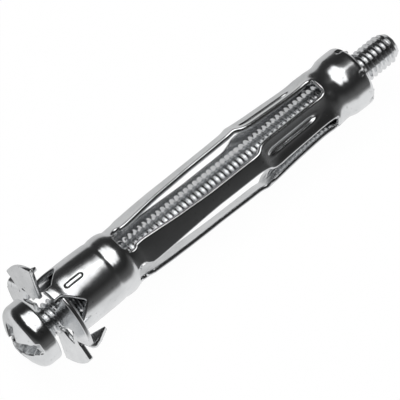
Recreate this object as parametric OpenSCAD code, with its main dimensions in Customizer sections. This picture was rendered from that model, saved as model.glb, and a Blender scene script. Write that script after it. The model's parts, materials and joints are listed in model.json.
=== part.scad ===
/* [Sleeve] */
// Length of the sleeve from the face of the collar to its tail end
sleeve_len = 46; // [42:0.5:60]
// Outside diameter of the barrel
barrel_d = 7.8; // [7.4:0.1:8.6]
// Thickness of the sheet steel
sheet = 0.55; // [0.4:0.05:0.65]
// Length of the plain barrel behind the collar, up to the slots
barrel_len = 10.4; // [9.5:0.1:13]
// Distance of the knee, where the legs fold, from the collar face
knee_at = 29.4; // [25:0.1:31]
// Length of the tail barrel behind the slots
tail_len = 5.65; // [5.2:0.05:7]
// Width of the butt seam of the rolled sheet
seam = 0.1; // [0.05:0.05:0.3]
// Width of each stake that closes the tail over the bush
stake_w = 0.9; // [0.6:0.05:1.2]
// Length of a stake
stake_len = 0.7; // [0.4:0.05:0.9]
// Depth of a stake at the tail end
stake_depth = 0.42; // [0.2:0.02:0.5]

/* [Collar] */
// Outside diameter of the collar
collar_d = 13.5; // [12.5:0.1:16]
// Inside radius of the bend between barrel and collar
bend_r = 0.3; // [0.2:0.05:0.5]
// Width of the open gap between the two wings at the rim
wing_gap = 4.9; // [3.6:0.1:6]
// Width of each root that carries a wing or a stub
root_w = 1.8; // [1.6:0.1:2.6]
// Depth of the straight sides of the notches between the roots
notch_side = 1; // [0.8:0.1:1.6]
// Depth of the notches at their peak
notch_depth = 3.5; // [3:0.1:4.5]
// Height of the anti-rotation teeth from the collar face
tooth_h = 3.3; // [2.2:0.1:4]
// Width of the anti-rotation teeth at their root
tooth_w = 2.3; // [1.6:0.1:2.5]
// How far the stub ends stay behind the collar face
stub_back = 0.4; // [0:0.05:0.6]

/* [Legs] */
// Width of a leg at its front end
leg_root_w = 3.4; // [2.6:0.05:3.9]
// Width of a leg in front of the knee
leg_front_w = 1.85; // [1.2:0.05:2.6]
// Width of a leg behind the knee
leg_rear_w = 3.1; // [2:0.05:3.8]
// Width of the round relief across the front end of a slot
relief_w = 3.95; // [3.4:0.05:4.4]
// Height of that relief
relief_h = 1.3; // [0.8:0.1:1.6]
// How far the legs are pinched in at their front end
front_pinch = 0.33; // [0:0.01:0.4]
// How far the knee stands out over the barrel
knee_out = 0.28; // [0:0.01:0.5]
// How far the legs are pinched in at their rear end
rear_pinch = 0.31; // [0:0.01:0.4]
// Length of the pressed bead on the rear half of a leg
bead_len = 7.4; // [5:0.1:9]
// Width of that bead
bead_w = 0.95; // [0.6:0.05:1.3]
// Depth of the pressed beads
bead_depth = 0.2; // [0.1:0.02:0.3]
// Length of the pressed bead on each stub
stub_bead_len = 2.9; // [2:0.1:4]

/* [Nut] */
// Length of the threaded bush in the tail
nut_len = 3.3; // [2.6:0.1:4]
// Depth of the ring pressed in front of the bush
neck_depth = 0.19; // [0.1:0.01:0.3]
// Depth of the marking ring behind the collar
ring_depth = 0.1; // [0.05:0.01:0.2]

/* [Screw] */
// Outside diameter of the screw's thread
screw_d = 3.88; // [3.6:0.02:4]
// Length of the screw under its head
screw_len = 53.6; // [49:0.2:70]
// Gap between the head and the collar
head_gap = 1.6; // [0.2:0.1:6]
// Diameter of the pan head
head_d = 8; // [7.2:0.1:9]
// Height of the pan head
head_h = 3.35; // [2.6:0.05:4]
// Radius of the head's domed top
dome_r = 6.5; // [5.5:0.1:9]
// Radius of the round between the dome and the side of the head
head_edge = 0.95; // [0.5:0.05:1.1]
// Radius of the round at the foot of the head's side
head_foot = 0.25; // [0.1:0.05:0.35]
// Width of the driver slot at its floor
slot_w = 1.15; // [0.8:0.05:1.4]
// Width of the driver slot at its mouth
slot_mouth = 1.6; // [1.2:0.05:2]
// Depth of the driver slot
slot_depth = 1.45; // [1:0.05:1.6]
// Span of the cross recess at its mouth
cross_span = 4.6; // [3.6:0.1:5]
// Depth of the cross recess
cross_depth = 2.2; // [1.6:0.1:2.3]
// Width of an arm of the cross recess
cross_w = 1.1; // [0.8:0.05:1.3]
// Angle to which the screw is turned
screw_turn = 140; // [0:5:355]

/* [Clearances] */
// Radial clearance of the screw in the bush
screw_clear = 0.05; // [0.02:0.01:0.09]
// Radial clearance of the bush in the tail
nut_clear = 0.02; // [0.01:0.01:0.05]

/* [Hidden] */
$fn = 72;
barrel_r = barrel_d / 2;
collar_r = collar_d / 2;
bore_r = barrel_r - sheet;
screw_r = screw_d / 2;
head_r = head_d / 2;
bend_out = bend_r + sheet;
slot_end = sleeve_len - tail_len;
// the part lies on the corners of its two wings
axis_h = sqrt(collar_r * collar_r - wing_gap * wing_gap / 4);
// middle of the whole length, for the origin
mid_x = (sleeve_len_end() - head_gap - head_h) / 2;
function sleeve_len_end() = max(sleeve_len, screw_len - head_gap);
// angle at the axis for a width w on the barrel
function half_deg(w) = w / 2 / barrel_r * 180 / PI;
// half angle of a slot between two legs of width w
function slot_deg(w) = 45 - half_deg(w);
root_deg = half_deg(root_w);
ring_at = barrel_len - 2.2;
stake_turn = 62.5;
neck_at = slot_end + 1.15;
lip = 0.3;
nut_r = bore_r - nut_clear;
nut_at = sleeve_len - sheet - nut_clear - nut_len;
// the bush narrows towards the ring that is pressed in front of it
nut_nose = neck_at + 2 - nut_at;
// a root's bend reaches into the sheet at both its ends and is a hair thinner
bend_lap = 0.1;
bend_in = 0.01;
// height over the head's underside of the circle that rounds the head's edge
edge_at = head_h - dome_r + sqrt(pow(dome_r - head_edge, 2) - pow(head_r - head_edge, 2));
// where the dome ends, as [radius, height over the head's underside]
dome_lean = asin((head_r - head_edge) / (dome_r - head_edge));
dome_rim = [dome_r * sin(dome_lean), head_h - dome_r + dome_r * cos(dome_lean)];

// turns a piece built along +Z so that it lies along +X
module lay() {
    translate([-mid_x, 0, axis_h])
        rotate([90, 0, 90])
            children();
}

// stations of the sleeve's outside, as [distance, radius]
outside = [
    [stub_back, barrel_r],
    [ring_at - 0.2, barrel_r],
    [ring_at - 0.05, barrel_r - ring_depth],
    [ring_at + 0.15, barrel_r - ring_depth],
    [ring_at + 0.3, barrel_r],
    [barrel_len - 0.65, barrel_r],
    [barrel_len - 0.2, barrel_r - front_pinch * 0.55],
    [barrel_len + 0.25, barrel_r - front_pinch],
    [barrel_len + 2, barrel_r - front_pinch * 0.68],
    [barrel_len + 7.2, barrel_r - front_pinch * 0.1],
    [knee_at - 2.4, barrel_r + knee_out * 0.34],
    [knee_at - 1.1, barrel_r + knee_out * 0.42],
    [knee_at - 0.55, barrel_r + knee_out * 0.72],
    [knee_at - 0.15, barrel_r + knee_out],
    [knee_at + 0.2, barrel_r + knee_out],
    [knee_at + 0.65, barrel_r + knee_out * 0.8],
    [knee_at + 1.4, barrel_r + knee_out * 0.5],
    [knee_at + 2.8, barrel_r],
    [slot_end - 3.6, barrel_r - rear_pinch * 0.78],
    [slot_end - 2.4, barrel_r - rear_pinch],
    [slot_end - 1.3, barrel_r - rear_pinch * 0.95],
    [slot_end, barrel_r - neck_depth * 0.75],
    [neck_at - 0.3, barrel_r - neck_depth],
    [neck_at + 0.3, barrel_r - neck_depth],
    [neck_at + 0.9, barrel_r - neck_depth * 0.5],
    [neck_at + 1.5, barrel_r - neck_depth * 0.12],
    [neck_at + 2, barrel_r],
    [sleeve_len - 0.45, barrel_r],
    [sleeve_len - 0.15, barrel_r - 0.1],
    [sleeve_len, barrel_r - 0.3]
];

// the tail's inside is straight round the bush and turns in behind it
inside = [
    [sleeve_len, barrel_r - sheet - lip],
    [sleeve_len - sheet, barrel_r - sheet - lip],
    [sleeve_len - sheet, bore_r],
    for (i = [len(outside) - 4 : -1 : 0]) [outside[i][0], outside[i][1] - sheet]
];

module shell_profile() {
    polygon([
        for (p = outside) [p[1], p[0]],
        for (p = inside) [p[1], p[0]]
    ]);
}

// a radial cut of constant half angle
module wedge(half, z0, z1) {
    reach = collar_r;
    translate([0, 0, z0])
        linear_extrude(z1 - z0)
            polygon([
                [0, 0],
                [reach * cos(half), -reach * sin(half)],
                [reach, 0],
                [reach * cos(half), reach * sin(half)]
            ]);
}

// a radial cut whose half angle changes from half0 to half1
module tapered_wedge(half0, half1, z0, z1) {
    mean = (half0 + half1) / 2;
    rise = (half1 - half0) * PI / 180 * barrel_r;
    lean = atan(rise / (z1 - z0));
    big = 4 * collar_r;
    intersection() {
        translate([0, -big / 2, z0])
            cube([collar_r, big, z1 - z0]);
        edge_half(mean, lean, (z0 + z1) / 2, big);
        mirror([0, 1, 0])
            edge_half(mean, lean, (z0 + z1) / 2, big);
    }
}

// the half space on the inner side of one radial edge
module edge_half(mean, lean, zm, big) {
    translate([0, 0, zm])
        rotate([0, 0, mean])
            rotate([-lean, 0, 0])
                translate([-big / 2, -big, -big / 2])
                    cube([big, big, big]);
}

// the slot between two legs
module slot() {
    relief_deg = half_deg(relief_w - relief_h);
    wedge(relief_deg, barrel_len, barrel_len + relief_h);
    for (side = [-1, 1])
        translate([0, 0, barrel_len + relief_h / 2])
            rotate([0, 0, side * relief_deg])
                rotate([0, 90, 0])
                    cylinder(h = collar_r, d = relief_h, $fn = 32);
    tapered_wedge(slot_deg(leg_root_w), slot_deg(leg_front_w), barrel_len + relief_h * 0.9, knee_at - 7.4);
    wedge(slot_deg(leg_front_w), knee_at - 7.4, knee_at - 0.15);
    tapered_wedge(slot_deg(leg_front_w), slot_deg(leg_rear_w), knee_at - 0.15, knee_at + 1);
    wedge(slot_deg(leg_rear_w), knee_at + 1, slot_end - 0.4);
    wedge(slot_deg(leg_rear_w) - half_deg(0.8), slot_end - 0.4, slot_end);
    for (side = [-1, 1])
        translate([0, 0, slot_end - 0.4])
            rotate([0, 0, side * (slot_deg(leg_rear_w) - half_deg(0.8))])
                rotate([0, 90, 0])
                    cylinder(h = collar_r, r = 0.4, $fn = 32);
}

// the house-shaped notch between two roots
module notch() {
    half = 45 - root_deg;
    shoulder = notch_side + (notch_depth - notch_side) * 0.64;
    wedge(half, 0, notch_side);
    tapered_wedge(half, half * 0.52, notch_side, shoulder);
    tapered_wedge(half * 0.52, 3, shoulder, notch_depth);
}

// a round-ended tool lying along the sleeve, for pressed beads
module bead_tool(r, length) {
    translate([0, 0, -length / 2 + bead_w / 2])
        cylinder(h = length - bead_w, r = r, $fn = 32);
    for (side = [-1, 1])
        translate([0, 0, side * (length / 2 - bead_w / 2)])
            sphere(r = r, $fn = 32);
}

// radius of the tool that presses a bead of the set width and depth
bead_r = (bead_w * bead_w / 4 + bead_depth * bead_depth) / (2 * bead_depth);

// outward offset of the tool's axis for a surface of radius r
function bead_off(r) = r + bead_r - bead_depth;

module bead_cut(angle, at, r, length) {
    rotate([0, 0, angle])
        translate([bead_off(r), 0, at])
            bead_tool(bead_r, length);
}

// the bead on the rear half of a leg follows the leg's slope
module leg_bead(angle) {
    r0 = barrel_r + knee_out * 0.62;
    r1 = barrel_r - rear_pinch;
    rotate([0, 0, angle])
        translate([bead_off((r0 + r1) / 2), 0, knee_at + 1.1 + bead_len / 2])
            rotate([0, -atan((r0 - r1) / (bead_len + 1)), 0])
                bead_tool(bead_r, bead_len);
}

// flat outline of a wing, with the wing's middle along +X
module wing_plan() {
    difference() {
        circle(r = collar_r);
        circle(r = barrel_r + 0.02);
        intersection() {
            circle(r = barrel_r + bend_r);
            polygon([
                [0, 0],
                [collar_r, -collar_r * tan(root_deg + 8)],
                [collar_r, collar_r * tan(root_deg + 8)]
            ]);
        }
        translate([-2 * collar_r, -collar_r])
            square([2 * collar_r, 2 * collar_r]);
        wing_end();
        mirror([0, 1])
            wing_end();
        tooth_frame()
            polygon([
                [-0.15, -bend_out],
                [0, 0],
                [2.2, 7 * sin(94)],
                [7, 7],
                [7, -bend_out]
            ]);
    }
}

// what is cut off at one end of a wing, towards the open gap
module wing_end() {
    inner = [wing_gap * 0.29, bore_r - 0.6];
    corner = [wing_gap / 2, axis_h];
    polygon([
        [-1, 0],
        inner,
        inner + 1.3 * (corner - inner),
        [-1, 2 * collar_r]
    ]);
}

// places a child on the fold line of a tooth: x along the fold, y across it
module tooth_frame() {
    translate([collar_r - 1.84, 0.69])
        rotate(-30.5)
            children();
}

// one anti-rotation tooth with its bend
module tooth() {
    translate([collar_r - 1.84, 0.69, 0])
        rotate([0, 0, -30.5]) {
            translate([0, 0, bend_out])
                rotate([90, 0, 0])
                    linear_extrude(sheet)
                        polygon([
                            [0, -0.02],
                            [tooth_w * 0.13, (tooth_h - bend_out) * 0.42],
                            [tooth_w * 0.33, tooth_h - bend_out],
                            [tooth_w * 0.55, (tooth_h - bend_out) * 0.72],
                            [tooth_w * 0.84, (tooth_h - bend_out) * 0.3],
                            [tooth_w, -0.02]
                        ]);
            bend_bar(tooth_w);
        }
}

// a quarter round bend of the sheet along +X, from the collar's plane up to +Z
module bend_bar(length) {
    translate([0, -bend_out, bend_out])
        rotate([90, 0, 90])
            linear_extrude(length)
                intersection() {
                    difference() {
                        circle(r = bend_out, $fn = 48);
                        circle(r = bend_r, $fn = 48);
                    }
                    translate([-0.02, -bend_out])
                        square([bend_out + 0.02, bend_out + 0.02]);
                }
}

// one wing with its root bend, its plate and its tooth
module wing() {
    linear_extrude(sheet)
        wing_plan();
    half = root_deg - 0.3;
    rotate([0, 0, -half])
        rotate_extrude(angle = 2 * half)
            root_bend();
    tooth();
}

// section of the bend between the barrel and the collar
module root_bend() {
    translate([barrel_r + bend_r, bend_out])
        intersection() {
            difference() {
                circle(r = bend_out - bend_in, $fn = 48);
                circle(r = bend_r + bend_in, $fn = 48);
            }
            translate([-bend_out, -bend_out])
                square([bend_out, bend_out]);
        }
    translate([bore_r + bend_in, bend_out])
        square([sheet - 2 * bend_in, bend_lap]);
    translate([barrel_r + bend_r, bend_in])
        square([bend_lap, sheet - 2 * bend_in]);
}

// a stake is a flat sloping down towards the tail end
module stake_cut(angle) {
    rotate([0, 0, angle])
        translate([barrel_r + 0.05, -stake_w / 2, sleeve_len - stake_len])
            rotate([0, -atan(stake_depth / stake_len), 0])
                cube([1, stake_w, 2 * stake_len]);
}

// the rolled tube with everything that is cut out of it and pressed into it
module barrel() {
    difference() {
        rotate_extrude()
            shell_profile();
        for (turn = [0 : 90 : 270]) {
            rotate([0, 0, turn])
                slot();
            rotate([0, 0, turn + 45])
                notch();
            leg_bead(turn + 45);
        }
        for (turn = [0, 180])
            rotate([0, 0, turn])
                wedge(root_deg + 3, 0, bend_out);
        for (turn = [90, 270])
            bead_cut(turn + 5.5, stub_back + 2 + stub_bead_len / 2, barrel_r, stub_bead_len);
        for (turn = [0 : 60 : 300])
            stake_cut(stake_turn + turn);
        rotate([0, 0, 270])
            translate([0, -seam / 2, 0])
                cube([collar_r, seam, sleeve_len + 1]);
    }
}

// the sleeve is one piece of sheet steel, rolled, slotted and pressed
module sleeve() {
    color("silver")
        lay() {
            barrel();
            for (turn = [0, 180])
                rotate([0, 0, turn])
                    wing();
        }
}

// the threaded bush that the tail holds
module nut() {
    color("silver")
        lay()
            translate([0, 0, nut_at])
                difference() {
                    union() {
                        cylinder(h = nut_nose, r1 = nut_r - neck_depth * 0.75, r2 = nut_r);
                        translate([0, 0, nut_nose])
                            cylinder(h = nut_len - nut_nose, r = nut_r);
                    }
                    translate([0, 0, -1])
                        cylinder(h = nut_len + 2, r = screw_r + screw_clear);
                }
}

// pan head screw with a slot and a cross recess
module screw() {
    color("gainsboro")
        lay()
            rotate([0, 0, screw_turn])
                difference() {
                    union() {
                        translate([0, 0, -head_gap - 0.01])
                            cylinder(h = screw_len - 0.99, r = screw_r);
                        translate([0, 0, screw_len - head_gap - 1])
                            cylinder(h = 1, r1 = screw_r, r2 = screw_r - 0.55);
                        translate([0, 0, -head_gap])
                            mirror([0, 0, 1])
                                pan_head();
                    }
                    translate([0, 0, -head_gap - head_h])
                        recess();
                }
}

// the domed head, with a round between its dome and its side
module pan_head() {
    intersection() {
        cylinder(h = head_h, r = dome_rim[0]);
        translate([0, 0, head_h - dome_r])
            sphere(r = dome_r, $fn = 128);
    }
    rotate_extrude()
        head_rim();
}

// section of the rim that surrounds the head's domed middle
module head_rim() {
    translate([head_r - head_edge, edge_at])
        circle(r = head_edge);
    translate([head_r - head_foot, head_foot])
        circle(r = head_foot);
    polygon([
        [0.5, 0],
        [head_r - head_foot, 0],
        [head_r, head_foot],
        [head_r, edge_at],
        dome_rim,
        [0.5, edge_at]
    ]);
}

// the combined recess, with its mouth at z = 0 and its floor along +Z
module recess() {
    rotate([90, 0, 90])
        translate([0, 0, -head_r - 1])
            linear_extrude(2 * head_r + 2)
                polygon([
                    [-slot_mouth / 2, -0.5],
                    [slot_mouth / 2, -0.5],
                    [slot_mouth / 2, 0],
                    [slot_w / 2, slot_depth],
                    [-slot_w / 2, slot_depth],
                    [-slot_mouth / 2, 0]
                ]);
    intersection() {
        union() {
            cylinder(h = cross_depth, r1 = cross_span / 2, r2 = cross_span * 0.16);
            translate([0, 0, -0.5])
                cylinder(h = 0.5, r = cross_span / 2);
        }
        for (turn = [0, 90])
            rotate([0, 0, turn])
                translate([-cross_span, -cross_w / 2, -0.5])
                    cube([2 * cross_span, cross_w, cross_depth + 0.5]);
    }
}

sleeve();
nut();
screw();
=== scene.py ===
"""Hollow wall anchor: a slotted sheet sleeve with a toothed collar, a threaded bush and a pan head screw."""

import json
import math

import bpy
import numpy as np
from mathutils import Matrix, Vector
from mathutils.geometry import delaunay_2d_cdt


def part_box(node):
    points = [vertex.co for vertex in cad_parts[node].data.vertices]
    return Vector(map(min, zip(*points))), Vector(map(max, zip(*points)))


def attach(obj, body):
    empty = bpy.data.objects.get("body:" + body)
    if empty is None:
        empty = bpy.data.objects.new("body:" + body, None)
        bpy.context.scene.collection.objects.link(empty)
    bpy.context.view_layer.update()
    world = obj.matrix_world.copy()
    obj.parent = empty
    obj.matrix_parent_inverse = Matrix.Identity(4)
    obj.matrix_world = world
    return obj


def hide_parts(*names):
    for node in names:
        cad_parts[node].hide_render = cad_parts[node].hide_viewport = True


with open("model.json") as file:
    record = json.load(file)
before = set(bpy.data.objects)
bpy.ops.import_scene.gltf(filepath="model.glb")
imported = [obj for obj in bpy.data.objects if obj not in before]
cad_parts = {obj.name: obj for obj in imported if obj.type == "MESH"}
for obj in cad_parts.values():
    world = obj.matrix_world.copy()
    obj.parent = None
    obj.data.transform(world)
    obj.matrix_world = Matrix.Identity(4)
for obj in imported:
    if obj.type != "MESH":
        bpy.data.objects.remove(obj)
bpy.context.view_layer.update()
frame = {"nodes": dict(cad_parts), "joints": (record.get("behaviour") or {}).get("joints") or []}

# ---------------------------------------------------------------- sizes, in mm along and across the axis
# the sheet, and the barrel rolled from it; a flatness of 1 presses a leg from round to flat
SHEET = 0.55
SEAM = 0.1
EDGE_ROUND = 0.19
SLEEVE_LEN = 46.0
BARREL_R = 3.9
FRONT_FLATNESS = 0.85
REAR_FLATNESS = 1.3
TURN_IN_AT = 45.4
TURN_IN_R = 0.6
TURN_IN_LEN = TURN_IN_R * math.pi / 2
SHEET_END = 46.6

# the collar: two wings on bent roots with a slit on each side, two stubs that stand back, and its lean
COLLAR_R = 6.75
WING_GAP = 4.9
BEND_R = 0.3
BEND_OUT = BEND_R + SHEET
ROOT_HALF = 0.9 / BARREL_R
ROOT_SLIT = math.radians(4.5)
STUB_BACK = 0.3
COLLAR_LEAN = math.radians(7)
COLLAR_LEAN_TURN = math.radians(135)

# the screw: its thread, its turn and its lean in the bush, then its head with a round dome, edge and foot
SCREW_R = 1.94
SCREW_CORE_R = 1.53
PITCH = 0.7
SCREW_LEN = 53.6
SCREW_TURN = math.radians(147)
SCREW_HELD_AT = 44
SCREW_LEAN = 0.42 / 48
SCREW_LEAN_TURN = math.radians(205)
HEAD_GAP = 1.6
HEAD_R = 4.0
HEAD_H = 3.35
HEAD_FOOT = 0.25
HEAD_EDGE = 1.3
DOME_R = 6.5

# the local frame has z along the axis from the collar's face; the row's frame has its origin on the surface
AXIS_H = frame["joints"][0]["pos_m"][2] * 1000
FACE_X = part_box("sleeve")[1].x * 1000 - SLEEVE_LEN


def placed(points):
    """Local points in mm, turned so that the axis lies along +X, in metres."""
    p = np.asarray(points, float)
    return np.stack([p[:, 2] + FACE_X, p[:, 0], p[:, 1] + AXIS_H], 1) / 1000


def new_piece(name, points, faces):
    """A smooth mesh object made of local points."""
    mesh = bpy.data.meshes.new(name)
    mesh.from_pydata([tuple(p) for p in placed(points)], [], [tuple(int(i) for i in f) for f in faces])
    mesh.polygons.foreach_set("use_smooth", [True] * len(mesh.polygons))
    mesh.update()
    obj = bpy.data.objects.new(name, mesh)
    bpy.context.scene.collection.objects.link(obj)
    return obj


# ---------------------------------------------------------------- the sheet: patches of one folded surface
# cut edges are round outside and nearly sharp inside; shares of the outer rounding set the points near them
INNER_ROUND = 0.25 * EDGE_ROUND
EDGE_ROWS = (0.25, 0.6, 1.0, 1.6)
ROW_CLEAR = 0.2
FOLD_CLEAR = 1.5
GRID_CLEAR = 2.3
SHARP_CORNER = 0.4

# points in the same cell are welded; the shift keeps round numbers away from the cells' borders
WELD_CELL = 0.00413
WELD_SHIFT = 0.31


class Sheet:
    """Patches of the sheet's outer side, welded along their folds, then given their thickness."""

    def __init__(self):
        self.rows = []
        self.faces = []
        self.count = 0

    def add(self, points, normals, edge_dist, faces):
        """A patch's points, with their outward directions and distances to a cut edge, and its triangles."""
        inset = np.clip(EDGE_ROUND - edge_dist, 0, EDGE_ROUND)
        drop = EDGE_ROUND - np.sqrt(EDGE_ROUND ** 2 - inset ** 2)
        inner_drop = np.maximum(INNER_ROUND - edge_dist, 0)
        self.rows.append(np.column_stack([points, normals, drop, inner_drop]))
        self.faces.append(np.asarray(faces, int) + self.count)
        self.count += len(points)

    def solid(self):
        """Points and faces of the whole sheet: outer side, inner side and cut edges."""
        rows = np.concatenate(self.rows)
        faces = np.concatenate(self.faces)
        cells = np.round(rows[:, :3] / WELD_CELL + WELD_SHIFT).astype(np.int64)
        _, first, index = np.unique(cells, axis=0, return_index=True, return_inverse=True)
        a, b, c = index.ravel()[faces].T
        faces = np.stack([a, b, c], 1)[(a != b) & (b != c) & (c != a)]
        used, renumbered = np.unique(faces, return_inverse=True)
        faces = renumbered.reshape(-1, 3)
        points, normals, drops, inner_drops = np.split(rows[first][used], (3, 6, 7), axis=1)
        outer = points - normals * drops
        inner = points - normals * (SHEET - inner_drops)
        n = len(points)
        sides = set(map(tuple, np.concatenate([faces[:, [0, 1]], faces[:, [1, 2]], faces[:, [2, 0]]])))
        cut_edges = [(a, b) for a, b in sides if (b, a) not in sides]
        all_faces = [tuple(f) for f in faces] + [tuple(f[::-1] + n) for f in faces]
        all_faces += [(b, a, a + n, b + n) for a, b in cut_edges]
        return np.concatenate([outer, inner]), all_faces


# a loop is a closed row of corners (x, y, free); free says that the side after the corner is a cut edge
def resampled(loop, step):
    """A loop with more corners, so that no cut edge is longer than step."""
    out = []
    for i, (x, y, free) in enumerate(loop):
        x2, y2, _ = loop[(i + 1) % len(loop)]
        n = max(1, math.ceil(math.hypot(x2 - x, y2 - y) / step - 1e-6)) if free else 1
        for k in range(n):
            out.append((x + (x2 - x) * k / n, y + (y2 - y) * k / n, free))
    return out


def inside(points, loop):
    """Which points lie inside a closed loop."""
    x, y = points[:, 0], points[:, 1]
    result = np.zeros(len(points), bool)
    for (x1, y1, _), (x2, y2, _) in zip(loop, loop[1:] + loop[:1]):
        if y1 == y2:
            continue
        crosses = (y1 > y) != (y2 > y)
        result ^= crosses & (x < (x2 - x1) * (y - y1) / (y2 - y1) + x1)
    return result


def cut_distance(points, loops):
    """Distance of each point to the nearest cut edge."""
    best = np.full(len(points), 1e9)
    for loop in loops:
        for (x1, y1, free), (x2, y2, _) in zip(loop, loop[1:] + loop[:1]):
            if not free:
                continue
            d = np.array([x2 - x1, y2 - y1])
            length2 = d @ d
            if length2 < 1e-12:
                continue
            rel = points - (x1, y1)
            t = np.clip(rel @ d / length2, 0, 1)
            np.minimum(best, np.hypot(rel[:, 0] - t * d[0], rel[:, 1] - t * d[1]), out=best)
    return best


def on_sheet(points, loops):
    """Which points lie inside the first loop, the outline, and outside the others, the holes."""
    result = inside(points, loops[0])
    for hole in loops[1:]:
        result &= ~inside(points, hole)
    return result


def inset_points(loop, distance):
    """Points just inside the cut edges of a loop that runs with the sheet on its left."""
    out = []
    n = len(loop)
    for i in range(n):
        if not (loop[i][2] or loop[i - 1][2]):
            continue
        a = np.array(loop[i - 1][:2])
        b = np.array(loop[i][:2])
        c = np.array(loop[(i + 1) % n][:2])
        n1 = np.array([-(b - a)[1], (b - a)[0]])
        n2 = np.array([-(c - b)[1], (c - b)[0]])
        n1 /= np.linalg.norm(n1)
        n2 /= np.linalg.norm(n2)
        if not loop[i - 1][2]:
            n1 = n2
        if not loop[i][2]:
            n2 = n1
        m = n1 + n2
        size = m @ m
        if size < SHARP_CORNER:
            continue
        out.append(b + m * 2 / size * distance)
    return out


def meshed(outline, holes, grids, edge_step):
    """Triangles of a flat area: its points, the distance of each to a cut edge, and its faces."""
    loops = [resampled(loop, edge_step) for loop in [outline] + holes]
    inner = np.concatenate(grids)
    inner = inner[on_sheet(inner, loops)]
    inner = inner[cut_distance(inner, loops) > EDGE_ROUND * GRID_CLEAR]
    for x, y, free in [corner for loop in loops for corner in loop]:
        if not free:
            inner = inner[np.hypot(inner[:, 0] - x, inner[:, 1] - y) > EDGE_ROUND * FOLD_CLEAR]
    near_edge = []
    for loop in loops:
        for share in EDGE_ROWS:
            near_edge += inset_points(loop, EDGE_ROUND * share)
    near_edge = np.array(near_edge)
    apart = cut_distance(near_edge, loops) > EDGE_ROUND * ROW_CLEAR
    near_edge = near_edge[apart & inside(near_edge, loops[0])]
    corners = [np.array([corner[:2] for corner in loop]) for loop in loops]
    edges = []
    start = 0
    for loop in loops:
        edges += [(start + i, start + (i + 1) % len(loop)) for i in range(len(loop))]
        start += len(loop)
    coords = np.concatenate(corners + [near_edge, inner])
    result = delaunay_2d_cdt([Vector(c) for c in coords], edges, [], 0, 1e-6)
    points = np.array([tuple(v) for v in result[0]])
    tris = np.array([f for f in result[2] if len(f) == 3])
    tris = tris[on_sheet(points[tris].mean(1), loops)]
    a, b, c = points[tris[:, 0]], points[tris[:, 1]], points[tris[:, 2]]
    area = (b[:, 0] - a[:, 0]) * (c[:, 1] - a[:, 1]) - (b[:, 1] - a[:, 1]) * (c[:, 0] - a[:, 0])
    tris[area < 0] = tris[area < 0][:, ::-1]
    return points, cut_distance(points, loops), tris


def grid_points(x0, x1, y0, y1, step, long_step=None):
    """Rows of points over a rectangle, about step apart, or long_step apart along y."""
    xs = np.linspace(x0, x1, max(2, round((x1 - x0) / step) + 1))
    ys = np.linspace(y0, y1, max(2, round((y1 - y0) / (long_step or step)) + 1))
    return np.stack(np.meshgrid(xs, ys), -1).reshape(-1, 2)


def bend_faces(columns, rows):
    """Triangles of a bend whose points lie in rows, each as wide as the columns."""
    faces = []
    for row in range(rows - 1):
        for p in range(row * columns, (row + 1) * columns - 1):
            faces += [(p, p + 1, p + columns), (p + 1, p + columns + 1, p + columns)]
    return faces


def arc(cx, cy, r, a0, a1, n):
    """Points of an arc round (cx, cy) from one angle to another."""
    return [(cx + r * math.cos(a), cy + r * math.sin(a)) for a in np.linspace(a0, a1, n)]


def smoothstep(x):
    x = np.clip(x, 0, 1)
    return x * x * (3 - 2 * x)


# ---------------------------------------------------------------- the barrel and its legs
# the barrel's outside: distance from the collar's face, radius
STATIONS = np.array([
    (0.0, 3.9), (3.4, 3.9), (5.2, 3.89), (6.6, 3.865), (7.9, 3.82), (8.12, 3.74), (8.36, 3.75),
    (8.52, 3.84), (9.4, 3.86), (9.6, 3.84), (10.0, 3.75), (10.45, 3.6), (10.9, 3.56), (12.3, 3.66),
    (15, 3.79), (17.6, 3.87), (22, 3.92), (27, 4.0), (28.3, 4.02), (28.85, 4.09), (29.25, 4.19),
    (29.6, 4.18), (30.0, 4.12), (30.8, 4.04), (32.2, 3.92), (34.2, 3.79), (36.8, 3.65), (37.9, 3.60),
    (39.0, 3.6), (40.0, 3.68), (40.6, 3.71), (41.2, 3.67), (41.8, 3.6), (42.3, 3.58), (42.6, 3.62),
    (43.3, 3.86), (43.75, 3.885), (44.2, 3.9), (46.5, 3.9),
])

# the outside softened where the stations change it: step along the sleeve, steps to each side, spread
PROFILE_STEP = 0.02
PROFILE_REACH = 25
PROFILE_SOFTNESS = 0.13
profile_z = np.arange(-0.5, SHEET_END, PROFILE_STEP)
offsets = np.arange(-PROFILE_REACH, PROFILE_REACH + 1) * PROFILE_STEP
weights = np.exp(-0.5 * (offsets / PROFILE_SOFTNESS) ** 2)
profile_r = np.pad(np.interp(profile_z, *STATIONS.T), PROFILE_REACH, mode="edge")
profile_r = np.convolve(profile_r, weights / weights.sum(), "valid")

# where the marks are pressed in: angles in degrees, lengths along the sleeve
LEG_BEADS = (45, 135, 225, 315)
LEG_BEAD = (31.5, 36.9)
STUB_BEADS = (95.5, -84.5)
STUB_BEAD = (2.9, 4.8)
STUB_CREASES = (92, -88)
STAKES = (62.5, 122.5, 182.5, 242.5, 302.5, 362.5)
STAKE = (45.3, 45.8)


def mm(degrees):
    """Length round the barrel for an angle."""
    return math.radians(degrees) * BARREL_R


def turn_from(angle, degrees):
    """The shorter turn to an angle from one given in degrees."""
    return (angle - math.radians(degrees) + math.pi) % (2 * math.pi) - math.pi


def line_distance(angle, z, degrees, z0, z1, end_share=1):
    """Distance from a line that runs along the barrel at an angle, counted less past its ends."""
    return np.hypot(turn_from(angle, degrees) * BARREL_R, end_share * (z - np.clip(z, z0, z1)))


def groove(distance, depth, floor, wall):
    """A pressed groove: its full depth out to floor, then a smooth wall back up."""
    return -depth * (1 - smoothstep((distance - floor) / wall))


def mound(distance, height, width):
    return height * np.exp(-((distance / width) ** 2))


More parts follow.
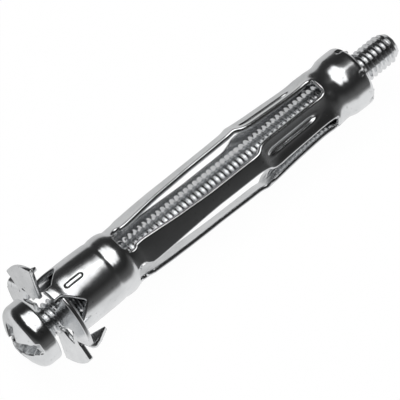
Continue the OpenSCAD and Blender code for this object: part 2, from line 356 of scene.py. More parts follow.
def pressed(angle, z):
    """How far the pressed marks and the sheet's unevenness move the surface outwards."""
    out = np.zeros_like(z)
    for degrees in LEG_BEADS:
        distance = line_distance(angle, z, degrees, *LEG_BEAD, end_share=0.4)
        out += groove(distance, depth=0.25, floor=0.17, wall=0.3)
        out += mound(distance - 0.62, height=0.02, width=0.16)
    for degrees in STUB_BEADS:
        out += groove(line_distance(angle, z, degrees, *STUB_BEAD), depth=0.16, floor=0.1, wall=0.35)
    for degrees in STUB_CREASES:
        crease = np.interp(z, (0, 1.25, 2.15, 3.6), (0, 0.02, -0.12, 0))
        out += mound(turn_from(angle, degrees), height=crease, width=0.5)
    for degrees in STAKES:
        out += groove(line_distance(angle, z, degrees, *STAKE), depth=0.24, floor=0.16, wall=0.22)
    wave = (
        0.006 * np.sin(z * 1.1 + 2.3 * np.sin(angle + 0.4))
        + 0.005 * np.sin(z * 0.57 - 3 * angle + 1.3)
        + 0.004 * np.sin(5 * angle + z * 0.31)
    )
    return out + wave * smoothstep((z - 1.2) / 2) * smoothstep((45 - z) / 3)


# one side of a slot, from its front end to its rear end: distance from its middle, length along the sleeve
slot_side = [(0, 10.4), (0.95, 10.45)]
slot_side += arc(1.3, 11.35, 0.65, -math.pi / 2, math.radians(65), 12)
slot_side += [(1.52, 12.5), (1.54, 13.2), (1.7, 15), (1.93, 17.6), (2.06, 20), (2.17, 22.5), (2.18, 28.7)]
slot_side += [(2.14, 29.15), (2.07, 29.5), (1.93, 29.8), (1.75, 30.05), (1.61, 30.35), (1.53, 30.8)]
slot_side += [(1.5, 31.4), (1.5, 39.55)]
slot_side += arc(0.75, 39.6, 0.75, 0, math.pi / 2, 10) + [(0, 40.35)]

# the two slots at the sides are narrower behind their round front ends
SIDE_SLOT_LESS = 0.24
side_slot = [(x - SIDE_SLOT_LESS * (x > 1.2) * (z > 12), z) for x, z in slot_side]

# the pressing of the legs: least half-width of the slots between them, how far it runs past a leg's edge,
# its two ends, and the knee between its front and its rear flatness
SLOT_HALF_LEAST = 1.26
PAST_LEG_EDGE = 0.12
FLAT_FROM = 10.0
FLAT_TO = 41.2
KNEE = (29.8, 31.6)


def flattened(angle, z):
    """How much the pressing of the legs scales the radius; their edges stay in place."""
    side = np.array(slot_side)
    edge = math.pi / 4 - np.maximum(np.interp(z, side[:, 1], side[:, 0]), SLOT_HALF_LEAST) / BARREL_R
    off = np.minimum(np.abs(np.mod(angle, math.pi / 2) - math.pi / 4), edge + PAST_LEG_EDGE)
    flatness = np.interp(z, KNEE, (FRONT_FLATNESS, REAR_FLATNESS))
    share = flatness * smoothstep((z - FLAT_FROM) / 1.4) * smoothstep((FLAT_TO - z) / 1.8)
    return 1 + share * (1 / np.cos(off) - 1 / np.cos(edge))


def barrel_at(arc_mm, v):
    """The barrel's outside at a length round it and a length along the sheet, which turns in at its end."""
    angle = arc_mm / BARREL_R
    t = np.clip(v - TURN_IN_AT, 0, TURN_IN_LEN)
    past = np.clip(v - TURN_IN_AT - TURN_IN_LEN, 0, 1)
    r = np.interp(v, profile_z, profile_r) - TURN_IN_R * (1 - np.cos(t / TURN_IN_R)) - past
    z = np.minimum(v, TURN_IN_AT) + TURN_IN_R * np.sin(t / TURN_IN_R)
    r = (r + pressed(angle, v)) * flattened(angle, v)
    return np.stack([r * np.cos(angle), r * np.sin(angle), z], 1)


def barrel_normals(x, y):
    """Outward directions of the barrel, from points close by."""
    h = 0.01
    du = barrel_at(x + h, y) - barrel_at(x - h, y)
    dv = barrel_at(x, y + h) - barrel_at(x, y - h)
    n = np.cross(du, dv)
    return n / np.linalg.norm(n, axis=1)[:, None]


# one side of a notch between the roots: angle in degrees from its middle, length along the sleeve
NOTCH_HALF = 45 - math.degrees(ROOT_HALF)
notch_side = [(-NOTCH_HALF, 0.95), (-NOTCH_HALF + 0.7, 1.5), (-NOTCH_HALF * 0.52, 2.55)]
notch_side += [(-4, 3.4), (-1.5, 3.52)]

# the columns of points across a root, close together at its two cut edges
root_angles = [ROOT_HALF - EDGE_ROUND * share / BARREL_R for share in (0,) + EDGE_ROWS]
root_middles = np.linspace(-root_angles[-1], root_angles[-1], 6)[1:-1]
root_angles = [-a for a in root_angles] + list(root_middles) + root_angles[::-1]


def barrel_outline():
    """The cut edge of the rolled sheet, laid flat: round the front end, up the seam, back along the tail."""
    half_seam = SEAM / 2
    left, right = mm(-90) + half_seam, mm(270) - half_seam
    root = math.degrees(ROOT_HALF)
    loop = []
    for k in range(-1, 4):
        middle = 90 * k
        if k in (0, 2):
            loop += [(mm(middle) + a * BARREL_R, BEND_OUT, False) for a in root_angles[:-1]]
            loop.append((mm(middle + root), BEND_OUT, True))
        else:
            stub_left = left if k == -1 else mm(middle - root)
            stub_right = right if k == 3 else mm(middle + root)
            loop += [(stub_left, STUB_BACK, True), (stub_right, STUB_BACK, True)]
        if k < 3:
            side = [(mm(middle + 45 + a), z, True) for a, z in notch_side]
            loop += side + [(2 * mm(middle + 45) - x, z, True) for x, z, _ in side[::-1]]
    tail = TURN_IN_AT + TURN_IN_LEN + 0.2
    loop += [(right - x + half_seam if x else right, z, True) for x, z in slot_side]
    loop += [(right, tail, True), (left, tail, True)]
    loop += [(left + x - half_seam if x else left, z, True) for x, z in slot_side[::-1]]
    return loop


def slot_loop(middle):
    """A whole slot's edge, laid flat, at an angle in degrees."""
    one_side = slot_side if middle == 90 else side_slot
    side = [(mm(middle) + x, z, True) for x, z in one_side]
    other = [(mm(middle) - x, z, True) for x, z in one_side[1:-1]]
    return side[::-1] + other


def add_barrel(sheet):
    """The barrel with its legs; the points are closer together where something is pressed in."""
    left, right = mm(-90), mm(270)
    grids = [grid_points(left, right, STUB_BACK, SHEET_END, 0.33)]
    for degrees in (-45, 45, 135, 225):
        grids.append(grid_points(mm(degrees) - 0.75, mm(degrees) + 0.75, 30.3, 38.3, 0.06, 0.16))
    for degrees in STUB_BEADS:
        grids.append(grid_points(mm(degrees) - 0.6, mm(degrees) + 0.6, 2.3, 5.4, 0.07, 0.12))
    grids.append(grid_points(left, right, 7.7, 11, 0.17))
    grids.append(grid_points(left, right, 45.2, 46.5, 0.14))
    flat, dist, tris = meshed(barrel_outline(), [slot_loop(a) for a in (0, 90, 180)], grids, 0.2)
    x, v = flat.T
    sheet.add(barrel_at(x, v), barrel_normals(x, v), dist, tris)


def turned(points, angle):
    c, s = math.cos(angle), math.sin(angle)
    x, y, z = points.T
    return np.stack([c * x - s * y, s * x + c * y, z], 1)


# ---------------------------------------------------------------- the collar
BEND_STEPS = 9

# where a wing plate's inner edge ends, and how far out its tabs are wide
WING_END_IN = Vector((1.217, 2.047))
WING_TAB_OUT = 3.2

# the tooth: where its fold starts in the wing's plane, the fold's turn, width and height
TOOTH_AT = (COLLAR_R - 1.84, 0.69)
TOOTH_TURN = math.radians(-30.5)
TOOTH_W = 2.3
TOOTH_H = 3.3

# the tooth's cut side, as shares of its width and height
TOOTH_SIDE = (
    (0.86, 0.3), (0.7, 0.52), (0.53, 0.74), (0.42, 0.9), (0.36, 0.975), (0.31, 0.97), (0.27, 0.88),
    (0.2, 0.66), (0.12, 0.42),
)

# the V notch beside the tooth, in the tooth's frame: its corners, then the side that runs out to the rim
V_NOTCH = ((-0.13, -0.75), (-0.1, -0.1), (0.06, 0.12))
V_NOTCH_SIDE = Vector((2.0, 6.9)).normalized() * 2.064

# the columns of points across the tooth's fold, close together at its two cut edges
tooth_cols = [EDGE_ROUND * share for share in (0,) + EDGE_ROWS]
tooth_middles = np.linspace(tooth_cols[-1], TOOTH_W - tooth_cols[-1], 8)[1:-1]
tooth_cols = tooth_cols + list(tooth_middles) + [TOOTH_W - c for c in tooth_cols[::-1]]


def add_root_bend(sheet, turn):
    """The quarter bend that carries a wing."""
    a, b = [g.ravel() for g in np.meshgrid(root_angles, np.linspace(0, math.pi / 2, BEND_STEPS))]
    rho = BARREL_R + BEND_R - BEND_R * np.cos(b)
    points = np.stack([rho * np.cos(a), rho * np.sin(a), BEND_OUT - BEND_R * np.sin(b)], 1)
    normals = np.stack([np.cos(b) * np.cos(a), np.cos(b) * np.sin(a), np.sin(b)], 1)
    faces = [face[::-1] for face in bend_faces(len(root_angles), BEND_STEPS)]
    dist = (ROOT_HALF - np.abs(a)) * BARREL_R
    sheet.add(turned(points, turn), turned(normals, turn), dist, faces)


def tooth_directions(across, up):
    """Directions across and up in the tooth's frame, in the wing's frame."""
    return np.stack([-across * math.sin(TOOTH_TURN), across * math.cos(TOOTH_TURN), up], 1)


def from_tooth(along, across, up):
    """Points of the tooth's own frame (along its fold, across it, up) in the wing's frame."""
    c, s = math.cos(TOOTH_TURN), math.sin(TOOTH_TURN)
    x = TOOTH_AT[0] + along * c - across * s
    y = TOOTH_AT[1] + along * s + across * c
    return np.stack([x, y, up], 1)


def tooth_corners(corners):
    """Flat points of the tooth's frame in the wing's plane."""
    along, across = np.array(corners).T
    return [(x, y) for x, y, _ in from_tooth(along, across, np.zeros_like(along))]


def wing_outline():
    """The cut edge of a wing's plate: root, tab, rim, the tooth's fold, the V notch, rim, tab."""
    rho = BARREL_R + BEND_R
    slit = ROOT_HALF + ROOT_SLIT
    tab_end = math.atan2(WING_END_IN.y, WING_END_IN.x)
    rim_end = math.atan2(math.sqrt(COLLAR_R ** 2 - WING_GAP ** 2 / 4), WING_GAP / 2)
    inner_edge = [(BARREL_R + 0.02, slit + 0.005), (WING_TAB_OUT, slit + 0.005)]
    inner_edge += [(WING_END_IN.length, a) for a in np.linspace(ROOT_HALF, tab_end, 11)]
    loop = [(rho * math.cos(a), rho * math.sin(a), False) for a in root_angles[:0:-1]]
    loop.append((rho * math.cos(ROOT_HALF), -rho * math.sin(ROOT_HALF), True))
    loop += [(x, y, True) for x, y in arc(0, 0, rho, -ROOT_HALF - 0.05, -slit, 3)]
    loop += [(r * math.cos(a), -r * math.sin(a), True) for r, a in inner_edge]
    fold = tooth_corners([(c, -BEND_OUT) for c in tooth_cols[::-1]])
    fold_angle = math.atan2(fold[0][1], fold[0][0])
    loop += [(x, y, True) for x, y in arc(0, 0, COLLAR_R, -rim_end, fold_angle - 0.015, 24)]
    loop += [(x, y, False) for x, y in fold[:-1]]
    loop += [(x, y, True) for x, y in fold[-1:] + tooth_corners(V_NOTCH)]
    rim_x, rim_y = tooth_corners([tuple(V_NOTCH_SIDE)])[0]
    loop += [(x, y, True) for x, y in arc(0, 0, COLLAR_R, math.atan2(rim_y, rim_x), rim_end, 22)]
    loop += [(r * math.cos(a), r * math.sin(a), True) for r, a in inner_edge[::-1]]
    loop += [(x, y, True) for x, y in arc(0, 0, rho, slit, ROOT_HALF + 0.05, 3)]
    loop.append((rho * math.cos(ROOT_HALF), rho * math.sin(ROOT_HALF), False))
    return loop


def add_wing(sheet, turn):
    """A wing's flat plate."""
    grid = grid_points(0, COLLAR_R, -COLLAR_R, COLLAR_R, 0.3)
    flat, dist, tris = meshed(wing_outline(), [], [grid], 0.22)
    points = np.column_stack([flat, np.full(len(flat), SHEET)])
    up = np.tile((0.0, 0.0, 1.0), (len(flat), 1))
    sheet.add(turned(points, turn), up, dist, tris)


def add_tooth(sheet, turn):
    """A tooth: its bend from the wing's plate, then its flat triangle."""
    a, b = [g.ravel() for g in np.meshgrid(tooth_cols, np.linspace(0, math.pi / 2, BEND_STEPS))]
    points = from_tooth(a, -BEND_OUT + BEND_R * np.sin(b), BEND_OUT - BEND_R * np.cos(b))
    normals = tooth_directions(-np.sin(b), np.cos(b))
    faces = bend_faces(len(tooth_cols), BEND_STEPS)
    sheet.add(turned(points, turn), turned(normals, turn), np.minimum(a, TOOTH_W - a), faces)
    top = TOOTH_H - BEND_OUT
    loop = [(c, 0, False) for c in tooth_cols[:-1]] + [(TOOTH_W, 0, True)]
    loop += [(TOOTH_W * u, top * v, True) for u, v in TOOTH_SIDE]
    flat, dist, tris = meshed(loop, [], [grid_points(0, TOOTH_W, 0, top, 0.25)], 0.2)
    u, v = flat.T
    points = from_tooth(u, np.full_like(u, -SHEET), v + BEND_OUT)
    normals = tooth_directions(np.full_like(u, -1), np.zeros_like(u))
    sheet.add(turned(points, turn), turned(normals, turn), dist, tris)


def collar_lean(points):
    """The collar leans a little on the barrel, as it comes from the press; the roots take it up."""
    x, y, z = points.T
    near_collar = 1 - smoothstep((z - 0.5) / 3)
    share = np.maximum(smoothstep((np.hypot(x, y) - BARREL_R - 0.1) / 0.5), near_collar)
    towards = x * math.cos(COLLAR_LEAN_TURN) + y * math.sin(COLLAR_LEAN_TURN)
    return np.stack([x, y, z + math.tan(COLLAR_LEAN) * towards * share], 1)


def make_sleeve():
    sheet = Sheet()
    add_barrel(sheet)
    for turn in (0, math.pi):
        add_root_bend(sheet, turn)
        add_wing(sheet, turn)
        add_tooth(sheet, turn)
    points, faces = sheet.solid()
    return new_piece("sleeve_sheet", collar_lean(points), faces)


# ---------------------------------------------------------------- node trees written as expressions
class Value:
    """A number socket in a node tree, so that maths on it adds Math nodes."""

    def __init__(self, tree, socket):
        self.tree = tree
        self.socket = socket

    def _math(self, operation, *values, clamp=False):
        settings = {"operation": operation, "use_clamp": clamp}
        return self.tree.node("ShaderNodeMath", settings, dict(enumerate(values)))

    def __add__(self, other):
        return self._math("ADD", self, other)

    def __radd__(self, other):
        return self._math("ADD", other, self)

    def __sub__(self, other):
        return self._math("SUBTRACT", self, other)

    def __rsub__(self, other):
        return self._math("SUBTRACT", other, self)

    def __mul__(self, other):
        return self._math("MULTIPLY", self, other)

    def __rmul__(self, other):
        return self._math("MULTIPLY", other, self)

    def __truediv__(self, other):
        return self._math("DIVIDE", self, other)


    def __abs__(self):
        return self._math("ABSOLUTE", self)

    def min(self, other):
        return self._math("MINIMUM", self, other)

    def max(self, other):
        return self._math("MAXIMUM", self, other)

    def clamped(self):
        return self._math("ADD", self, 0.0, clamp=True)

    def sin(self):
        return self._math("SINE", self)

    def cos(self):
        return self._math("COSINE", self)

    def ramp(self, low, high):
        """0 below low, 1 above high, smooth between."""
        return self.tree.node(
            "ShaderNodeMapRange", {"interpolation_type": "SMOOTHSTEP"},
            {"Value": self, "From Min": low, "From Max": high},
        )


class Tree:
    """A node tree that is filled one node at a time."""

    def __init__(self, tree):
        self.tree = tree

    def add(self, kind, settings=None, values=None):
        node = self.tree.nodes.new(kind)
        for name, value in (settings or {}).items():
            setattr(node, name, value)
        for name, value in (values or {}).items():
            socket = node.inputs[name]
            if isinstance(value, Value):
                self.tree.links.new(value.socket, socket)
            elif isinstance(value, bpy.types.NodeSocket):
                self.tree.links.new(value, socket)
            else:
                socket.default_value = value
        return node

    def node(self, kind, settings=None, values=None, output=0):
        return Value(self, self.add(kind, settings, values).outputs[output])

    def split(self, vector):
        node = self.add("ShaderNodeSeparateXYZ", None, {0: vector})
        return [Value(self, s) for s in node.outputs]

    def joined(self, x, y, z):
        return self.node("ShaderNodeCombineXYZ", None, {0: x, 1: y, 2: z})

    def curve(self, value, points):
        """A number run through a curve of straight pieces."""
        node = self.tree.nodes.new("ShaderNodeFloatCurve")
        line = node.mapping.curves[0]
        for x, y in points[1:-1]:
            line.points.new(x, y)
        for point, (x, y) in zip(line.points, points):
            point.location = (x, y)
            point.handle_type = "VECTOR"
        node.mapping.update()
        self.tree.links.new(value.socket, node.inputs["Value"])
        return Value(self, node.outputs[0])


# ---------------------------------------------------------------- finishes
# how many of each mark of the plating there are to a metre, roughly
PATCHES = 260
RIPPLES = 700
RUBBED_LINES = 900
SPECKS = 2600
GRAIN = 5200


def mixed(tree, factor, a, b):
    """A colour between two, each a value or a node's output."""
    node = tree.add("ShaderNodeMix", {"data_type": "RGBA"}, {"Factor": factor})
    for name, value in (("A", a), ("B", b)):
        socket = [s for s in node.inputs if s.name == name and s.type == "RGBA"][0]
        if isinstance(value, Value):
            tree.tree.links.new(value.socket, socket)
        else:
            socket.default_value = value
    return Value(tree, [s for s in node.outputs if s.type == "RGBA"][0])


def noise(tree, coords, scale, detail, roughness):
    return tree.node("ShaderNodeTexNoise", None, {
        "Vector": coords, "Scale": scale, "Detail": detail, "Roughness": roughness,
    })


def zinc(name, light, dark, rough, rough_spread, ripple):
    """Bright zinc plating: a clear reflection, broken by ripples, grain, dull patches and dark specks."""
    material = bpy.data.materials.new(name)
    material.use_nodes = True
    tree = Tree(material.node_tree)
    shader = material.node_tree.nodes["Principled BSDF"]
    coords = tree.node("ShaderNodeTexCoord", None, None, output="Object")
    patches = noise(tree, coords, PATCHES, 3, 0.6)
    specks = noise(tree, coords, SPECKS, 1, 0.4).ramp(0.70, 0.76)
    lengthwise = tree.node("ShaderNodeMapping", None, {"Vector": coords, "Scale": (0.25, 1, 1)})
    rubbed = noise(tree, lengthwise, RUBBED_LINES, 2, 0.5)
    colour = mixed(tree, patches.ramp(0.35, 0.7), light, dark)
    colour = mixed(tree, specks * 0.35, colour, (0.25, 0.25, 0.26, 1))
    tree.tree.links.new(colour.socket, shader.inputs["Base Color"])
    roughness = rough + rough_spread * (patches.ramp(0.3, 0.75) + 0.5 * rubbed.ramp(0.4, 0.7))
    tree.tree.links.new(roughness.socket, shader.inputs["Roughness"])
    shader.inputs["Metallic"].default_value = 1.0
    height = noise(tree, coords, RIPPLES, 2, 0.5) * ripple
    height = height + noise(tree, coords, GRAIN, 2, 0.6) * (ripple * 0.05)
    bump = tree.add("ShaderNodeBump", None, {"Strength": 1.0, "Distance": 0.001, "Height": height})
    tree.tree.links.new(bump.outputs["Normal"], shader.inputs["Normal"])
    return material


sheet_zinc = zinc(
    "zinc_on_sheet_steel", light=(0.80, 0.81, 0.82, 1), dark=(0.71, 0.72, 0.73, 1),
    rough=0.16, rough_spread=0.06, ripple=0.008,
)
screw_zinc = zinc(
    "zinc_on_screw", light=(0.79, 0.80, 0.81, 1), dark=(0.70, 0.71, 0.72, 1),
    rough=0.12, rough_spread=0.06, ripple=0.005,
)
nut_zinc = zinc(
    "zinc_on_bush", light=(0.72, 0.73, 0.74, 1), dark=(0.62, 0.63, 0.64, 1),
    rough=0.2, rough_spread=0.08, ripple=0.006,
)


# ---------------------------------------------------------------- the screw's head
# the slot and the cross: half-widths at the top, how far their walls slope in, depths, the cross's arms
SLOT_HALF = 0.84
SLOT_WALL = 0.27
SLOT_DEPTH = 1.45
CROSS_HALF = 0.88
CROSS_WALL = 0.16
CROSS_DEPTH = 2.2
CROSS_REACH = 3.1
CROSS_END_SLOPE = 1.4
RECESS_SOFTNESS = 0.07
UNCUT = 0.3

# the dome runs out to DOME_LEAN, and the head's rounded edge, whose middle is at EDGE_AT, from there
EDGE_AT = HEAD_H - DOME_R + math.sqrt((DOME_R - HEAD_EDGE) ** 2 - (HEAD_R - HEAD_EDGE) ** 2)
DOME_LEAN = math.asin((HEAD_R - HEAD_EDGE) / (DOME_R - HEAD_EDGE))
DOME_OUT = DOME_R * math.sin(DOME_LEAN)

# points round the head, shares of its side's height between them, and the underside's rings
HEAD_STEPS = 168
SIDE_SHARES = (0.1, 0.4, 0.7)
UNDERSIDE_RINGS = (3.4, 2.6, 2.1, 1.7, 1.0)


def screw_lean(points):
    """The screw sits a little askew in its bush, so that its head is off the sleeve's axis."""
    x, y, z = points.T
    off = (SCREW_HELD_AT - z) * SCREW_LEAN
    return np.stack([x + off * math.cos(SCREW_LEAN_TURN), y + off * math.sin(SCREW_LEAN_TURN), z], 1)


def smooth_min(a, b, k):
    h = np.clip(0.5 + 0.5 * (b - a) / k, 0, 1)
    return b * (1 - h) + a * h - k * h * (1 - h)


def head_height(x, y):
    """Height of the head's top over its underside, with the slot along x and the cross cut into it."""
    rho = np.minimum(np.hypot(x, y), HEAD_R)
    dome = np.sqrt(DOME_R ** 2 - rho ** 2) - (DOME_R - HEAD_H)
    over = np.clip(rho - (HEAD_R - HEAD_EDGE), 0, HEAD_EDGE)
    edge = EDGE_AT + np.sqrt(HEAD_EDGE ** 2 - over ** 2)
    dome = np.where(rho > DOME_OUT, edge, dome)
    slot = np.clip((SLOT_HALF - np.abs(y)) / SLOT_WALL, 0, 1) * SLOT_DEPTH
    slot_floor = np.where(np.abs(y) < SLOT_HALF, HEAD_H - slot, HEAD_H + UNCUT)
    wide = np.maximum(np.abs(x), np.abs(y))
    thin = np.minimum(np.abs(x), np.abs(y))
    arms = np.minimum((CROSS_REACH - wide) * CROSS_END_SLOPE, (CROSS_HALF - thin) / CROSS_WALL * CROSS_DEPTH)
    cross_floor = HEAD_H - np.clip(arms, -UNCUT, CROSS_DEPTH)
    return smooth_min(smooth_min(dome, slot_floor, RECESS_SOFTNESS), cross_floor, RECESS_SOFTNESS)


def head_lines():
    """Where the lines of the head's grid run: closest together over the walls of the slot and the cross."""
    floor = np.linspace(0.0, 0.42, 5)[:-1]
    walls = np.linspace(0.42, 0.96, 22)
    beyond = np.linspace(0.96, HEAD_R, 26)[1:]
    half = np.concatenate([floor, walls, beyond])
    return np.concatenate([-half[:0:-1], half])


def head_ring(rho):
    return np.array(arc(0, 0, rho, 0, 2 * math.pi, HEAD_STEPS + 1))[:-1]


def make_head():
    """The head: a grid over the dome, rings over its rounded edge, then its side and its underside."""
    lines = head_lines()
    grid = np.stack(np.meshgrid(lines, lines), -1).reshape(-1, 2)
    grid = grid[np.hypot(*grid.T) < DOME_OUT - 0.05]
    leans = np.linspace(DOME_LEAN, math.pi / 2, 12)[:-1]
    rings = [head_ring(HEAD_R - HEAD_EDGE + HEAD_EDGE * math.sin(lean)) for lean in leans]
    coords = np.concatenate([head_ring(HEAD_R), grid] + rings)
    edges = [(i, (i + 1) % HEAD_STEPS) for i in range(HEAD_STEPS)]
    result = delaunay_2d_cdt([Vector(c) for c in coords], edges, [], 0, 1e-6)
    x, y = np.array([tuple(v) for v in result[0]]).T
    faces = [tuple(f[::-1]) for f in result[2]]
    height = head_height(x, y)
    points = list(np.stack([x, y, height], 1))
    rim = np.nonzero(np.hypot(x, y) > HEAD_R - 1e-4)[0]
    angles = np.arctan2(y[rim], x[rim])
    rim, angles = rim[np.argsort(angles)], np.sort(angles)
    top = height[rim]
    rings = [(HEAD_R, top + (HEAD_FOOT - top) * share) for share in SIDE_SHARES]
    foot = arc(HEAD_R - HEAD_FOOT, HEAD_FOOT, HEAD_FOOT, 0, -math.pi / 2, 7)
    rings += [(rho, h * np.ones_like(top)) for rho, h in foot + [(rho, 0) for rho in UNDERSIDE_RINGS]]
    rows = [list(rim)]
    for rho, heights in rings:
        rows.append(range(len(points), len(points) + len(rim)))
        points += list(np.stack([rho * np.cos(angles), rho * np.sin(angles), heights], 1))
    points.append((0, 0, 0))
    n = len(rim)
    for upper, lower in zip(rows, rows[1:]):
        faces += [(upper[i], upper[(i + 1) % n], lower[(i + 1) % n], lower[i]) for i in range(n)]
    faces += [(rows[-1][i], rows[-1][(i + 1) % n], len(points) - 1) for i in range(n)]
    p = np.array(points)
    p[:, 2] = -HEAD_GAP - p[:, 2]
    return new_piece("screw_head", screw_lean(turned(p, SCREW_TURN)), faces)


# ---------------------------------------------------------------- the screw's thread
# the thread's section from crest to root: shares of half a pitch, then shares of its depth, at even steps
SECTION_ALONG = (0, 0.07, 0.16, 0.38, 0.62, 0.78, 1)
SECTION_DOWN = (0, 0.02, 0.12, 0.5, 0.9, 0.99, 1)
SECTION_POINTS = 2 * len(SECTION_ALONG) - 1
THREAD_IN_HEAD = 0.3
CHAMFER_SLOPE = 0.55


def thread_tree():
    """A thread rolled on a rod, as a tree: a strip of the thread's section wound along a helix."""
    group = bpy.data.node_groups.new("rolled_thread", "GeometryNodeTree")
    group.is_modifier = True
    face = group.interface
    face.new_socket("Geometry", in_out="OUTPUT", socket_type="NodeSocketGeometry")
    for name in ("Crest radius", "Depth", "Pitch", "Start", "Tip", "Tip chamfer"):
        face.new_socket(name, in_out="INPUT", socket_type="NodeSocketFloat")
    face.new_socket("Turns", in_out="INPUT", socket_type="NodeSocketInt")
    face.new_socket("Steps a turn", in_out="INPUT", socket_type="NodeSocketInt")
    face.new_socket("Finish", in_out="INPUT", socket_type="NodeSocketMaterial")
    tree = Tree(group)
    given = {s.name: Value(tree, s) for s in tree.add("NodeGroupInput").outputs if s.name}
    strip = tree.add("GeometryNodeMeshGrid", None, {
        "Size X": 1.0, "Size Y": 1.0,
        "Vertices X": given["Turns"] * given["Steps a turn"] + 1, "Vertices Y": SECTION_POINTS,
    })
    x, y, _ = tree.split(tree.node("GeometryNodeInputPosition"))
    wound = (x + 0.5) * given["Turns"]
    off = abs(y) * 2
    last = len(SECTION_ALONG) - 1
    along = tree.curve(off, [(i / last, share) for i, share in enumerate(SECTION_ALONG)])
    down = tree.curve(off, [(i / last, share) for i, share in enumerate(SECTION_DOWN)])
    side = tree.node("ShaderNodeMath", {"operation": "SIGN"}, {0: y})
    z = given["Start"] + given["Pitch"] * (wound - 1 + side * along * 0.5)
    radius = given["Crest radius"] - given["Depth"] * down
    chamfer = given["Crest radius"] - (z - (given["Tip"] - given["Tip chamfer"])).max(0) * CHAMFER_SLOPE
    past = ((z - given["Tip"]) / given["Pitch"]).clamped()
    before = ((given["Start"] - z) / given["Pitch"]).clamped()
    radius = radius.min(chamfer) * (1 - past) * (1 - before)
    z = z.min(given["Tip"]).max(given["Start"])
    angle = wound * (2 * math.pi)
    lean = (SCREW_HELD_AT - z) * SCREW_LEAN
    local_x = radius * angle.cos() + lean * math.cos(SCREW_LEAN_TURN)
    local_y = radius * angle.sin() + lean * math.sin(SCREW_LEAN_TURN)
    place = tree.joined((z + FACE_X) * 0.001, local_x * 0.001, (local_y + AXIS_H) * 0.001)
    moved = tree.node("GeometryNodeSetPosition", None, {"Geometry": strip.outputs["Mesh"], "Position": place})
    welded = tree.node("GeometryNodeMergeByDistance", None, {"Geometry": moved, "Distance": 0.000002})
    smooth = tree.node("GeometryNodeSetShadeSmooth", None, {"Geometry": welded})
    real = tree.node("GeometryNodeRealizeInstances", None, {"Geometry": smooth})
    finished = tree.node("GeometryNodeSetMaterial", None, {"Geometry": real, "Material": given["Finish"]})
    tree.add("NodeGroupOutput", None, {"Geometry": finished})
    return group


def from_tree(name, group, values):
    """The plain mesh that a tree makes from its named inputs."""
    obj = bpy.data.objects.new(name, bpy.data.meshes.new(name))
    bpy.context.scene.collection.objects.link(obj)
    modifier = obj.modifiers.new("make", "NODES")
    modifier.node_group = group
    for item in group.interface.items_tree:
        if item.item_type == "SOCKET" and item.in_out == "INPUT" and item.name in values:
            modifier[item.identifier] = values[item.name]
    bpy.context.view_layer.update()
    made = obj.evaluated_get(bpy.context.evaluated_depsgraph_get())
    mesh = bpy.data.meshes.new_from_object(made)
    obj.modifiers.clear()
    obj.data = mesh
    mesh.name = name
    return obj


def make_thread():
    return from_tree("screw_thread", thread_tree(), {
        "Crest radius": SCREW_R, "Depth": SCREW_R - SCREW_CORE_R, "Pitch": PITCH,
        "Start": -HEAD_GAP - THREAD_IN_HEAD, "Tip": SCREW_LEN - HEAD_GAP, "Tip chamfer": 1.0,
        "Turns": math.ceil((SCREW_LEN + THREAD_IN_HEAD) / PITCH) + 3, "Steps a turn": 40,
        "Finish": screw_zinc,
    })


# ---------------------------------------------------------------- the pieces on their bodies
sleeve = make_sleeve()
sleeve.data.materials.append(sheet_zinc)
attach(sleeve, "anchor")
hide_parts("sleeve")

head = make_head()
head.data.materials.append(screw_zinc)
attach(head, "screw")
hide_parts("screw")

thread = make_thread()
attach(thread, "screw")
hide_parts("screw")

bush = frame["nodes"]["nut"]
bush.data.materials.clear()
bush.data.materials.append(nut_zinc)


# ---------------------------------------------------------------- camera: a long lens above the near side
CAMERA_RIGHT = Vector((0.7474, -0.6621, -0.0547))
CAMERA_BACK = Vector((-0.3007, -0.4106, 0.8608))
CAMERA_AT = Vector((FACE_X - 52.5, -102.0, AXIS_H + 212.9)) / 1000
CAMERA_LENS = 198


def facing(x, y, z, at):
    """The place of a lamp or camera whose own axes run along three directions."""
    return Matrix.Translation(at) @ Matrix((x, y, z)).transposed().to_4x4()


camera = bpy.data.objects.new("camera", bpy.data.cameras.new("camera"))
bpy.context.scene.collection.objects.link(camera)
back = CAMERA_BACK.normalized()
up = back.cross(CAMERA_RIGHT.normalized()).normalized()
camera.matrix_world = facing(up.cross(back), up, back, CAMERA_AT)
camera.data.lens = CAMERA_LENS
camera.data.sensor_width = 36
camera.data.sensor_fit = "HORIZONTAL"
camera.data.clip_start = 0.01
camera.data.clip_end = 20
bpy.context.scene.camera = camera


# ---------------------------------------------------------------- studio
# how white the floor is to the camera and in reflections, how much painted shade dims it in reflections in
# front of the part, behind it and past its tip, and the share of it that is lit paper, which shows the shadow
FLOOR_SEEN = 1.06
FLOOR_REFLECTED = 0.92
PAINTED_SHADE_IN_FRONT = 0.72
PAINTED_SHADE_BEHIND = 0.27
PAINTED_SHADE_PAST_TIP = 0.6
SHADOW_SHARE = 0.08
FLOOR_HALF = 3.0
FLOOR_BELOW = 0.00002

# the room's glow, all round, low down, and more of it low down on the side of the front
ROOM_GLOW = 0.02
LOW_GLOW = 0.03
LOW_FRONT_GLOW = 0.07

# both lamps hang over the part in this direction
LAMPS_TOWARD = Vector((0.0, 0.1045, 0.9945))


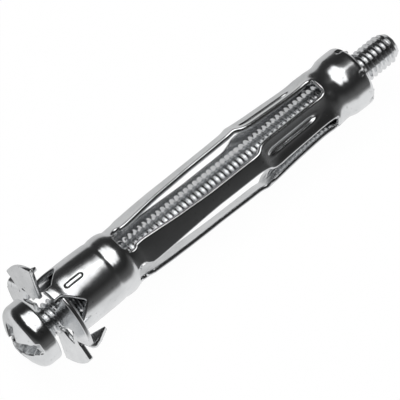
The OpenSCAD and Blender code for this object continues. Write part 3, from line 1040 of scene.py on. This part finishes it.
def white_floor():
    """A white floor that keeps a faint shadow, with painted shade in its glow where the part would reflect
    too much of it.
    """
    material = bpy.data.materials.new("white_floor")
    material.use_nodes = True
    material.node_tree.nodes.clear()
    tree = Tree(material.node_tree)
    rays = tree.add("ShaderNodeLightPath")
    direct = Value(tree, rays.outputs["Is Camera Ray"])
    glossy = Value(tree, rays.outputs["Is Glossy Ray"])
    through = Value(tree, rays.outputs["Is Transmission Ray"])
    mirrored = (glossy + through).clamped()
    # places on the floor in metres: x along the part towards its tip, y away from the camera
    x, y, _ = tree.split(tree.node("ShaderNodeTexCoord", None, None, output="Object"))
    # painted shade: the floor's glow, as reflections see it, is darker in front of the part, behind it and
    # past its tip
    shade_in_front_mask = (0 - y).ramp(0.022, 0.06)
    shade_behind_mask = y.ramp(-0.004, 0.012) * x.ramp(-0.05, -0.025)
    shade_past_tip_mask = x.ramp(0.055, 0.14)
    white = FLOOR_REFLECTED - PAINTED_SHADE_IN_FRONT * shade_in_front_mask - PAINTED_SHADE_BEHIND * shade_behind_mask
    glow = direct * FLOOR_SEEN + mirrored * white * (1 - PAINTED_SHADE_PAST_TIP * shade_past_tip_mask)
    paper = tree.node("ShaderNodeBsdfDiffuse", None, {"Color": (0.8, 0.8, 0.8, 1)})
    lit = tree.node("ShaderNodeEmission", None, {"Color": (1, 1, 1, 1), "Strength": glow})
    lit_share = (direct + mirrored).clamped() * (1 - SHADOW_SHARE)
    surface = tree.node("ShaderNodeMixShader", None, {0: lit_share, 1: paper, 2: lit})
    tree.add("ShaderNodeOutputMaterial", None, {"Surface": surface})
    return material


def make_floor():
    mesh = bpy.data.meshes.new("floor")
    s = FLOOR_HALF
    mesh.from_pydata([(-s, -s, 0), (s, -s, 0), (s, s, 0), (-s, s, 0)], [], [(0, 1, 2, 3)])
    mesh.materials.append(white_floor())
    floor = bpy.data.objects.new("floor", mesh)
    floor.location = (0, 0, -FLOOR_BELOW)
    bpy.context.scene.collection.objects.link(floor)


def studio_room():
    """A dark room that glows a little low down, most in front, and that the camera sees as white."""
    room = bpy.data.worlds.new("studio")
    room.use_nodes = True
    room.node_tree.nodes.clear()
    tree = Tree(room.node_tree)
    camera_ray = Value(tree, tree.add("ShaderNodeLightPath").outputs["Is Camera Ray"])
    _, y, z = tree.split(tree.node("ShaderNodeTexCoord", None, None, output="Generated"))
    low = 1 - z.ramp(0.02, 0.6)
    front = 1 - y.ramp(-0.5, 0.5)
    glow = ROOM_GLOW + low * (LOW_GLOW + LOW_FRONT_GLOW * front)
    walls = tree.node("ShaderNodeBackground", None, {"Color": (1, 1, 1, 1), "Strength": glow})
    white = tree.node("ShaderNodeBackground", None, {"Color": (1, 1, 1, 1), "Strength": 1.0})
    surface = tree.node("ShaderNodeMixShader", None, {0: camera_ray, 1: walls, 2: white})
    tree.add("ShaderNodeOutputWorld", None, {"Surface": surface})
    return room


def softbox(name, distance, along, across, power):
    """An oval lamp over the part that looks down at it, with its sizes along +X and across it."""
    data = bpy.data.lights.new(name, "AREA")
    data.shape = "ELLIPSE"
    data.size = along
    data.size_y = across
    data.energy = power
    lamp = bpy.data.objects.new(name, data)
    bpy.context.scene.collection.objects.link(lamp)
    z = LAMPS_TOWARD.normalized()
    y = z.cross(Vector((1, 0, 0))).normalized()
    lamp.matrix_world = facing(y.cross(z), y, z, z * distance)


make_floor()
bpy.context.scene.world = studio_room()
softbox("overhead_softbox", distance=0.5, along=0.35, across=0.72, power=0.87)
softbox("overhead_strip", distance=0.505, along=0.5, across=0.17, power=0.2)

bpy.context.scene.view_settings.view_transform = "Standard"
